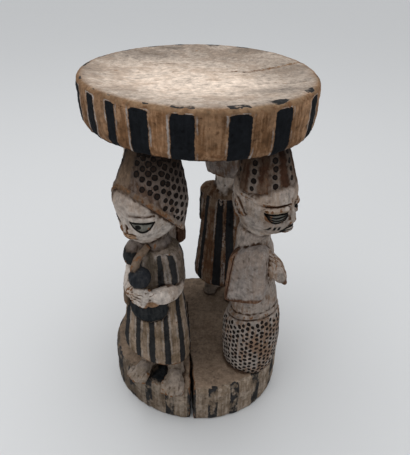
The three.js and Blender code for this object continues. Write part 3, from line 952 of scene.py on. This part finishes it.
# Painted light and shade: these finishes are made lighter or darker along an axis, as the light falls
# across them
for name, axis, where, shades in (
    ("base top", places[:, 1], (-100, -30), (1.37, 0.92)),
    ("base side", places[:, 0], (-115, -60, 5, 60), (0.5, 0.82, 1, 1.18)),
    ("seat side", places[:, 0], (-100, -45, -15, 20, 70, 110), (0.95, 1.3, 1.15, 0.86, 1.0, 1.38)),
    ("her skin", local[:, 2], (200, 216, 226, 250, 264), (1.3, 1.3, 0.88, 0.88, 1.2)),
    ("bare skin", local[:, 2], (120, 135, 155, 200), (0.86, 0.95, 1.12, 1.16)),
    ("hood", places[:, 1], (40, 60), (1.05, 1.3)),
    ("skin", places[:, 1], (40, 60), (1, 1.3)),
    ("hood front", local[:, 2], (280, 310), (1.1, 1.3)),
):
    tone_and_painted_light *= np.where(painted == number[name], np.interp(axis, where, shades), 1)
for at, size, dark in (
    ((80, -66), (38, 15), 0.42),
    ((-38, 113), (16, 8), 0.5),
    ((-66, 84), (40, 16), 0.3),
    ((70, 104), (34, 12), 0.3),
    ((-124, -14), (16, 40), 0.3),
    ((44, -49), (13, 4), 0.35),
    ((98, 4), (44, 56), 0.26),
    ((-70, -78), (30, 9), 0.25),
):
    stained = np.clip(1.3 - np.linalg.norm((places[:, :2] - at) / size, axis=1), 0, 1)
    tone_and_painted_light = tone_and_painted_light * np.where(on_top, 1 - dark * stained, 1)
# Painted light lifts the shade on the downward inside of the hood's flap
in_flap = on_front_man & np.isin(painted, head_finish_numbers)
in_flap &= (local[:, 2] < 238) & (normals[:, 2] < 0.1)
tone_and_painted_light *= np.where(in_flap, 1.6, 1)
tone_and_painted_light = tone_and_painted_light[:, None] * (1 - soot_and_painted_shade[:, None] * (0, 0.13, 0.22))
# The rim of the seat is rubbed down to warm brown wood
compass = np.arctan2(places[:, 1], places[:, 0])
from_middle = np.hypot(places[:, 0], places[:, 1]) / out_of_round(SEAT_OVAL, compass)
rim = np.where(on_top, np.clip((from_middle - 126) / 7, 0, 1) ** 1.5, 0)
on_edge = np.clip((places[:, 2] - 444.5) / 3, 0, 1) * (painted == number["seat side"])
rim = np.maximum(rim, on_edge)[:, None]
ground = ground * tone_and_painted_light * (1 - rim) + rim * np.array([0.25, 0.16, 0.095])
mingled = mingled * tone_and_painted_light * (1 - rim) + rim * np.array([0.15, 0.085, 0.046])
store(mesh, "ground", ground)
store(mesh, "mingled", mingled)
store(mesh, "age", evened(np.array([f["age"] for f in table])[painted], joined, 1))
store(mesh, "eye_at", eye_at)
mouth = np.where(style == 1, MANS_FACE["mouth"], WOMANS_FACE["mouth"])
store(mesh, "mouth_at", np.stack([np.abs(local[:, 0]), local[:, 2] - mouth, style], -1))

triangles = len(mesh.polygons)
corner_point = np.empty(triangles * 3, np.int32)
mesh.loops.foreach_get("vertex_index", corner_point)
middle = local[corner_point].reshape(triangles, 3, 3).mean(1)
middle_turn = np.repeat(np.degrees(np.arctan2(middle[:, 0], -middle[:, 1])), 3)
corner_turn = middle_turn + (turn[corner_point] - middle_turn + 180) % 360 - 180
corner_finish, corner_local = painted[corner_point], local[corner_point]
radius = np.hypot(corner_local[:, 0], corner_local[:, 1])
stripe = np.full(len(corner_point), -6.0)
for k, made in enumerate(table):
    chosen = corner_finish == k
    if made["stripes"]:
        best = np.full(chosen.sum(), -1e9)
        for start, end in made["stripes"]:
            for lap in (-360, 0, 360):
                inside = corner_turn[chosen] - lap
                best = np.maximum(best, np.minimum(inside - start, end - inside))
        best = np.radians(best) * radius[chosen]
        height = radius[chosen] if k == number["seat top"] else corner_local[chosen, 2]
        best = np.minimum(best, 3 * np.minimum(height - made["span"][0], made["span"][1] - height))
        stripe[chosen] = np.clip(best, -6, 6)
store(mesh, "stripe", stripe, "CORNER")

# Dots dabbed on in columns. Each face is measured from the middle of the nearest dot: how far
# across it and up it, and the dot's radius, in millimetres
chance = np.random.default_rng(5)
dab = np.full((triangles, 3, 3), (9.0, 9.0, -9.0))


def dabbed(finish, figure, columns, pitch, size, slender, clear):
    """Dabs dots round one form, in staggered columns, wherever clear(turn, height) allows a dot."""
    of_form = (corner_finish.reshape(-1, 3) == number[finish]).all(1)
    of_form &= owner[corner_point].reshape(-1, 3)[:, 0] == figures.index(figure)
    rows = np.arange(2, 350, pitch)
    dots = [(t, z + pitch / 2 * (n % 2)) for n, t in enumerate(columns) for z in rows]
    dots = np.array(dots) + chance.normal(0, 1, (len(dots), 2)) * (1.0, pitch * 0.06)
    dots = dots[clear(dots[:, 0], dots[:, 1])]
    sizes, leans = size * chance.uniform(0.88, 1.1, len(dots)), chance.normal(0, 0.5, len(dots))
    arm = np.hypot(middle[of_form, 0], middle[of_form, 1])[:, None]
    aside = np.radians((middle_turn[::3][of_form, None] - dots[:, 0] + 180) % 360 - 180) * arm
    best = (aside**2 + (middle[of_form, 2, None] - dots[:, 1]) ** 2).argmin(1)
    aside = corner_turn.reshape(-1, 3)[of_form] - dots[best, 0, None]
    aside = np.radians((aside + 180) % 360 - 180) * arm
    above = corner_local[:, 2].reshape(-1, 3)[of_form] - dots[best, 1, None]
    lean = leans[best, None] * (slender != 1)
    across = aside * np.cos(lean) + above * np.sin(lean)
    up = (above * np.cos(lean) - aside * np.sin(lean)) * slender
    dab[of_form] = np.stack([across, up, np.repeat(sizes[best, None], 3, 1)], -1)


def on_hood(turns, heights):
    """Clear of the bare front and of the band round the face."""
    forwards = np.cos(np.radians(turns))
    edge = np.maximum(251.5 + 54 * forwards, 219 - 30 * forwards)
    return (np.abs((turns + 184) % 360 - 180) > 24) & (heights > edge)


def on_back_hood(turns, heights):
    """Near its top, as far as it shows."""
    return heights > 300


def on_cap(turns, heights):
    """Clear of its lower edge."""
    return heights > 283 + 4 * np.cos(np.radians(turns))


def on_wrapper(turns, heights):
    """Clear of the rolled edge at the waist."""
    return heights < 87 + 10 * np.cos(np.radians(turns))


dabbed("hood", FRONT_MAN, np.arange(-171, 180, 12.2), 9.3, 3.1, 1.0, on_hood)
dabbed("hood", BACK_MAN, np.arange(-174, 180, 12), 9.3, 2.9, 1.0, on_back_hood)
for figure in (RIGHT_WOMAN, BACK_WOMAN):
    dabbed("cap", figure, np.arange(-160, 180, 40), 9.4, 3.0, 0.95, on_cap)
    dabbed("wrapper", figure, np.arange(-175, 180, 9.6), 7.7, 2.25, 0.8, on_wrapper)
store(mesh, "dab", dab.reshape(-1, 3), "CORNER")
# Each face is measured from the nearest stretch of a crack: how far across it, and within its ends
corner_place = places[corner_point]
face_place = corner_place.reshape(triangles, 3, 3).mean(1)
nearest, crack = np.full(triangles, 1e9), np.full((triangles, 3, 3), -9.0)
tops = [([(*p, 0.9) for p in path], face_place[:, 2] > 436) for path in SEAT_CRACKS]
tops.append((BASE_CRACK, (face_place[:, 2] > 56) & (face_place[:, 2] < 68)))
for path, at_level in tops:
    for n, (start, end) in enumerate(zip(path, path[1:])):
        wide_here, start, way = start[2] * 0.65, np.array(start[:2]), np.subtract(end[:2], start[:2])
        long = math.hypot(*way)
        way = way / long
        offset = face_place[:, :2] - start
        along = np.clip(offset @ way, 0, long)
        away = np.linalg.norm(offset - along[:, None] * way, axis=1)
        closer = at_level & (away < np.minimum(nearest, 9))
        nearest[closer] = away[closer]
        offset = corner_place.reshape(triangles, 3, 3)[closer, :, :2] - start
        across = offset @ np.array([-way[1], way[0]])
        inside = np.full(across.shape, 9.0)
        if n == 0:
            inside = np.minimum(inside, offset @ way)
        if n == len(path) - 2:
            inside = np.minimum(inside, long - offset @ way)
        crack[closer] = np.stack([across, inside, np.full(across.shape, wide_here)], -1)
store(mesh, "crack", crack.reshape(-1, 3), "CORNER")
mesh.transform(Matrix.Scale(MM, 4))
bpy.ops.object.select_all(action="DESELECT")
stool.select_set(True)
bpy.context.view_layer.objects.active = stool
bpy.ops.object.shade_smooth()

# Paint
# Water paint brushed on by hand over the carving: kaolin white, ochre and blue-black. It has worn
# off the edges to the red-brown wood, and dust and smoke have darkened the hollows.


class Field:
    """A value or a colour that nodes work out at each point of the surface."""

    def __init__(self, socket):
        self.socket = socket

    def __add__(self, other):
        return maths("ADD", self, other)

    def __sub__(self, other):
        return maths("SUBTRACT", self, other)

    def __rsub__(self, other):
        return maths("SUBTRACT", other, self)

    def __mul__(self, other):
        return maths("MULTIPLY", self, other)

    def __truediv__(self, other):
        return maths("DIVIDE", self, other)

    def __pow__(self, other):
        return maths("POWER", self, other)

    def __abs__(self):
        return maths("ABSOLUTE", self)


def add(kind, links=(), **settings):
    """A node in the tree in hand, with its settings, and with numbers or fields in its inputs."""
    made = tree.nodes.new("ShaderNode" + kind)
    for key, value in settings.items():
        setattr(made, key, value)
    for key, value in dict(links).items():
        if isinstance(value, Field):
            tree.links.new(value.socket, made.inputs[key])
        else:
            made.inputs[key].default_value = value
    return made


def field(kind, links=(), output=0, **settings):
    """One output of a new node."""
    return Field(add(kind, links, **settings).outputs[output])


def put(value, socket):
    """Links a field into a socket."""
    tree.links.new(value.socket, socket)


def maths(operation, a, b=0.0):
    """A sum of one kind on numbers or fields."""
    return field("Math", {0: a, 1: b}, operation=operation)


def root(value):
    """A square root."""
    return maths("SQRT", value)


def ranged(value, low, high, to_low=0.0, to_high=1.0, kind="LINEAR"):
    """A value moved from one range into another."""
    ends = {"From Min": low, "From Max": high, "To Min": to_low, "To Max": to_high}
    return field("MapRange", {"Value": value, **ends}, interpolation_type=kind)


def step(value, low, high):
    """0 at low and 1 at high, with a soft step between them."""
    return ranged(value, low, high, kind="SMOOTHSTEP")


def either(*shares):
    """Where any of the shares holds."""
    result = shares[0]
    for share in shares[1:]:
        result = maths("MAXIMUM", result, share)
    return result


def blend(share, a, b, kind="MIX"):
    """Colour a turned into colour b by a share."""
    return field("MixRGB", {"Fac": share, "Color1": a, "Color2": b}, blend_type=kind)


def noise(scale, detail=3.0, stretch=(1, 1, 1), rough=0.55, shift=0.0):
    """Cloudy noise on the piece's own coordinates, in features per metre."""
    where = field("TexCoord", output="Object")
    placed = field("Mapping", {"Vector": where, "Scale": stretch, "Location": (shift, shift, shift)})
    return field("TexNoise", {"Vector": placed, "Scale": scale, "Detail": detail, "Roughness": rough})


def around_none(value, amount):
    """Noise moved to lie round nought, and made stronger."""
    return (value - 0.5) * amount


def kept(name, part=None):
    """A value kept on the mesh, or one part of a vector, or all of it."""
    if part is None:
        return field("Attribute", output="Fac", attribute_name=name)
    whole = field("Attribute", output="Vector", attribute_name=name)
    return whole if part == "all" else field("SeparateXYZ", {0: whole}, output=part)


def group(name, outputs):
    """An empty node group, and the sockets of its outputs."""
    made = bpy.data.node_groups.new(name, "ShaderNodeTree")
    for label in outputs:
        made.interface.new_socket(label, in_out="OUTPUT", socket_type="NodeSocketFloat")
    return made, made.nodes.new("NodeGroupOutput").inputs


def grouped(name):
    """What a node group puts out, by name."""
    made = add("Group", node_tree=bpy.data.node_groups[name])
    return {output.name: Field(output) for output in made.outputs}


# Hand-painted stripes: the dark brush stroke, and the thin pale line beside it
tree, result = group("painted stripes", ("Dark", "Pale"))
wander = around_none(noise(45, 3, (1, 1, 0.7)), 3.0)
ragged = around_none(noise(330, 3), 2.4)
inside = kept("stripe") + (wander + ragged)
fade = kept("age", 2)
patchy = noise(65, 5, (1, 1, 0.6), 0.65, shift=11)
stays = step(patchy + fade * 0.42, 0.54, 0.68)
put(step(inside, -0.4, 0.4) * stays, result["Dark"])
beside = abs(inside + 1.7)
pale = step(beside, 1.5, 0.5) * step(noise(110, 3, (1, 1, 0.35), shift=3), 0.44, 0.6)
put(pale * (step(fade, 0.6, 1.05) * 0.9), result["Pale"])

# Dots dabbed on with a stick, darkest round their edges
tree, result = group("dabbed dots", ("Dot", "Rim"))
across, up, size = (kept("dab", k) for k in (0, 1, 2))
away = root(across * across + up * up) + around_none(noise(260, 3), 2.2)
within = size - away
worn = step(noise(70, 4, shift=9), 0.2, 0.32)
put(step(within, -0.35, 0.35) * worn, result["Dot"])
put(step(within, 1.7, 0.8), result["Rim"])

# Lines painted round the eyes and lips of men and women. Along and up are shares of the eye, and
# the mouth is measured in millimetres.
tree, result = group("painted face", ("Dark", "Grey", "Pale", "Brown", "Tan"))
along, up, style = (kept("eye_at", k) for k in (0, 1, 2))
ragged = around_none(noise(300, 3), 0.1)
up += ragged
man = step(style, 0.5, 0.9) * step(style, 1.5, 1.1)
woman = step(style, 1.3, 1.7)
bow = either(1.0 - along ** 2, 0.0)
within = step(abs(along), 1.08, 0.98)


def stroke(value, at, width):
    """A painted line where a value is close to a number."""
    return step(abs(value - at), width, width * 0.45)


def arc(depth, width):
    """A painted arc under the eye's upper line, at a share of its depth."""
    return stroke(bow * depth + up, 0.0, width)


open_eye = step(up, 0.03, -0.03) * step(up + bow, -0.02, 0.03) * within
pupil_at = root((along + 0.32) ** 2 + (up + 0.42) ** 2)
outline = either(arc(1.0, 0.21), stroke(up, 0.0, 0.17)) * within * either(man, woman)
nested = either(arc(0.66, 0.13), arc(0.34, 0.13)) * within * woman
pupil = step(pupil_at, 0.3, 0.22) * man
x, z = (kept("mouth_at", k) for k in (0, 1))
z += ragged * 8
lip_round = root((x / 12.5) ** 2 + (z / 3.6) ** 2)
lips = either(stroke(lip_round, 1.0, 0.3), stroke(z, 0.0, 0.9) * step(x, 12, 10.5)) * woman
beats = abs(maths("FRACT", (x - 14.8) / 3.7) - 0.5)
dashes = step(beats, 0.36, 0.24) * stroke(z, 4.2, 3.6) * step(x, 14.6, 15.1) * step(x, 24.6, 24.0) * woman
put(either(outline, nested, pupil * open_eye, lips, dashes), result["Dark"])
put(open_eye * either(man, woman), result["Grey"])
lid_top = woman * 0.18 + 0.24
lid = step(up, 0.04, 0.1) * step(lid_top - up, -0.03, 0.06) * within * either(man, woman)
put(lid, result["Pale"])
mouth_line = stroke(z, 3.6, 1.9) * step(x, 15.5, 13) * man
low_line = stroke(z, -3.4, 1.7) * step(x, 15, 12) * man
nose_line = stroke(x, 5.4, 1.4) * step(z, 2, 4) * step(z, 17, 13) * man
fold = stroke(up, 0.86, 0.16) * step(abs(along), 1.5, 1.1) * woman
# The man's brow line is painted shade in the crease above his eye
brow = stroke(up, 0.75, 0.25) * step(abs(along), 1.4, 0.9) * man * 0.5
put(either(mouth_line, low_line, nose_line, fold, brow), result["Brown"])
put(step(abs(z), 3.6, 3.0) * step(x, 14.5, 12) * man, result["Tan"])

# The whole painted surface
paint = bpy.data.materials.new("painted wood")
paint.use_nodes = True
tree = paint.node_tree
BLUE_BLACK = (0.0085, 0.0095, 0.0115, 1)
OLD_BLACK = (0.012, 0.011, 0.01, 1)
WORN_BLACK = (0.026, 0.025, 0.025, 1)
WHITE_LINE = (0.33, 0.3, 0.28, 1)
BARE_WOOD = (0.14, 0.07, 0.036, 1)
GRIME = (0.2, 0.14, 0.105, 1)

upright_grain = noise(55, 5, (6, 6, 0.5), 0.6)
level_grain = noise(48, 5, (0.35, 4.5, 4.5), 0.62)
rise = field("SeparateXYZ", {0: field("TexCoord", output="Object")}, output=2)
on_seat_top = step(rise, 0.4445, 0.4455) * step(kept("ground", 1), 0.4, 0.5)
grain = field("Mix", {0: on_seat_top, 2: upright_grain, 3: level_grain})
blotch = noise(38, 6, rough=0.62)
patches = noise(14, 4, rough=0.6, shift=20)
speck = noise(380, 3, rough=0.65)
fine, broad = kept("fine_relief"), kept("broad_relief")

mix_share = blotch + (around_none(grain, 0.7) + around_none(patches, 0.6))
colour = blend(step(mix_share, 0.42, 0.62), kept("ground", "all"), kept("mingled", "all"))
stripe_marks, dot_marks, face_marks = map(grouped, ("painted stripes", "dabbed dots", "painted face"))
colour = blend(stripe_marks["Pale"], colour, WHITE_LINE)
ink = blend(step(kept("age", 2), 1.0, 0.8), BLUE_BLACK, WORN_BLACK)
colour = blend(stripe_marks["Dark"], colour, ink)
dot_colour = blend(dot_marks["Rim"], (0.019, 0.012, 0.009, 1), (0.006, 0.0055, 0.0055, 1))
colour = blend(dot_marks["Dot"], colour, dot_colour)
lid_colour = blend(step(kept("ground", 1), 0.42, 0.44), (0.26, 0.2, 0.145, 1), (0.5, 0.44, 0.38, 1))
colour = blend(face_marks["Pale"], colour, lid_colour)
colour = blend(face_marks["Grey"], colour, (0.15, 0.145, 0.125, 1))
colour = blend(face_marks["Tan"], colour, (0.33, 0.21, 0.13, 1))
colour = blend(face_marks["Brown"], colour, (0.085, 0.045, 0.026, 1))
colour = blend(face_marks["Dark"], colour, OLD_BLACK)

# Brush marks and stains darken and lighten it
mottle = noise(150, 4, rough=0.6, shift=31)
stain = around_none(blotch, 1.4) + (around_none(grain, 0.9) + around_none(speck, 0.6))
stain += around_none(mottle, 1.3)
colour = blend(1.0, colour, ranged(stain, -0.5, 0.5, 0.45, 1.5), "MULTIPLY")
# Worn to bare wood where the form stands out
edge = broad * 0.45 + fine * 1.6
edge += around_none(blotch, 1.5) + around_none(grain, 0.9)
edge -= stripe_marks["Dark"] * 0.25
chipped = step(edge + kept("age", 0), 0.46, 0.56)
bare = blend(1.0, BARE_WOOD, ranged(grain, 0.3, 0.7, 0.6, 1.4), "MULTIPLY")
colour = blend(chipped, colour, bare)
# Grimy where it lies deep
deep = broad * -0.6 + fine * -4.5 + around_none(blotch, 0.9)
grimy = step(deep, 0.0, 1.0) * kept("age", 1)
colour = blend(grimy, colour, GRIME, "MULTIPLY")
colour = blend(step(kept("seam"), 0.25, 1.0) * 0.58, colour, (0.26, 0.2, 0.16, 1), "MULTIPLY")
# Cracks that opened as the log dried, painted near black inside as painted shade
across = kept("crack", 0) + around_none(noise(160, 3, shift=7), 2.0)
wide = kept("crack", 2)
open_crack = step(abs(across), wide, wide * 0.5) * step(kept("crack", 1), -0.5, 4)
colour = blend(open_crack, colour, (0.012, 0.008, 0.006, 1))

shader = tree.nodes["Principled BSDF"]
put(colour, shader.inputs["Base Color"])
put(ranged(speck, 0, 1, 0.68, 0.95), shader.inputs["Roughness"])
shader.inputs["Specular IOR Level"].default_value = 0.06
height = grain + (speck + chipped * -0.5)
put(field("Bump", {"Height": height, "Distance": 0.0009, "Strength": 0.7}), shader.inputs["Normal"])
mesh.materials.clear()
mesh.materials.append(paint)

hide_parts("caryatid_stool")
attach(stool, "root")

# Floor, light and camera
# A pale matt floor, with soft light mostly from above. The place and turn of the camera were worked
# out from the ellipses of the seat and the base in the photograph.
bpy.ops.mesh.primitive_plane_add(size=14, location=(0, 0, 0))
floor = bpy.context.object
floor.name = "floor"
pale = bpy.data.materials.new("pale floor")
pale.use_nodes = True
pale.node_tree.nodes["Principled BSDF"].inputs["Base Color"].default_value = (0.60, 0.605, 0.61, 1)
pale.node_tree.nodes["Principled BSDF"].inputs["Roughness"].default_value = 0.6
floor.data.materials.append(pale)

# The sky is brighter overhead than at its edge, as a pale ceiling is
world = bpy.data.worlds.new("studio")
bpy.context.scene.world = world
world.use_nodes = True
tree = world.node_tree
upwards = field("SeparateXYZ", {0: field("TexCoord", output="Generated")}, output=2)
background = tree.nodes["Background"]
background.inputs["Color"].default_value = (0.97, 0.985, 1.0, 1)
put(ranged(upwards, 0.1, 0.8, 0.30, 1.05), background.inputs["Strength"])


def soft_light(name, at, aim, size, watts):
    """A square studio light, facing a point."""
    lamp = bpy.data.lights.new(name, "AREA")
    lamp.size = size
    lamp.energy = watts
    light = bpy.data.objects.new(name, lamp)
    bpy.context.collection.objects.link(light)
    light.location = at
    light.rotation_euler = (Vector(aim) - Vector(at)).to_track_quat("-Z", "Y").to_euler()


soft_light("overhead", (-0.2, 0.1, 1.9), (0, 0, 0.3), 1.4, 12)
soft_light("front left", (-1.3, -1.5, 1.2), (0, 0, 0.2), 1.2, 5)

camera = bpy.data.objects.new("camera", bpy.data.cameras.new("camera"))
bpy.context.collection.objects.link(camera)
bpy.context.scene.camera = camera
CAMERA_PITCH, CAMERA_YAW, CAMERA_ROLL = 31.99, 1.02, 1.084  # degrees
camera.location = (0, -0.540, 0.5832)
camera.rotation_euler = (
    Matrix.Rotation(math.radians(-CAMERA_YAW), 4, "Z")
    @ Matrix.Rotation(math.radians(90 - CAMERA_PITCH), 4, "X")
    @ Matrix.Rotation(math.radians(CAMERA_ROLL), 4, "Z")
).to_euler()
LONG_SIDE, FOCAL_LENGTH, VIEW_MIDDLE = 455, 476.2, 225.24  # pixels of the photograph
camera.data.lens = 36 * FOCAL_LENGTH / LONG_SIDE
camera.data.shift_y = (VIEW_MIDDLE - LONG_SIDE / 2) / LONG_SIDE
bpy.context.scene.view_settings.view_transform = "Standard"
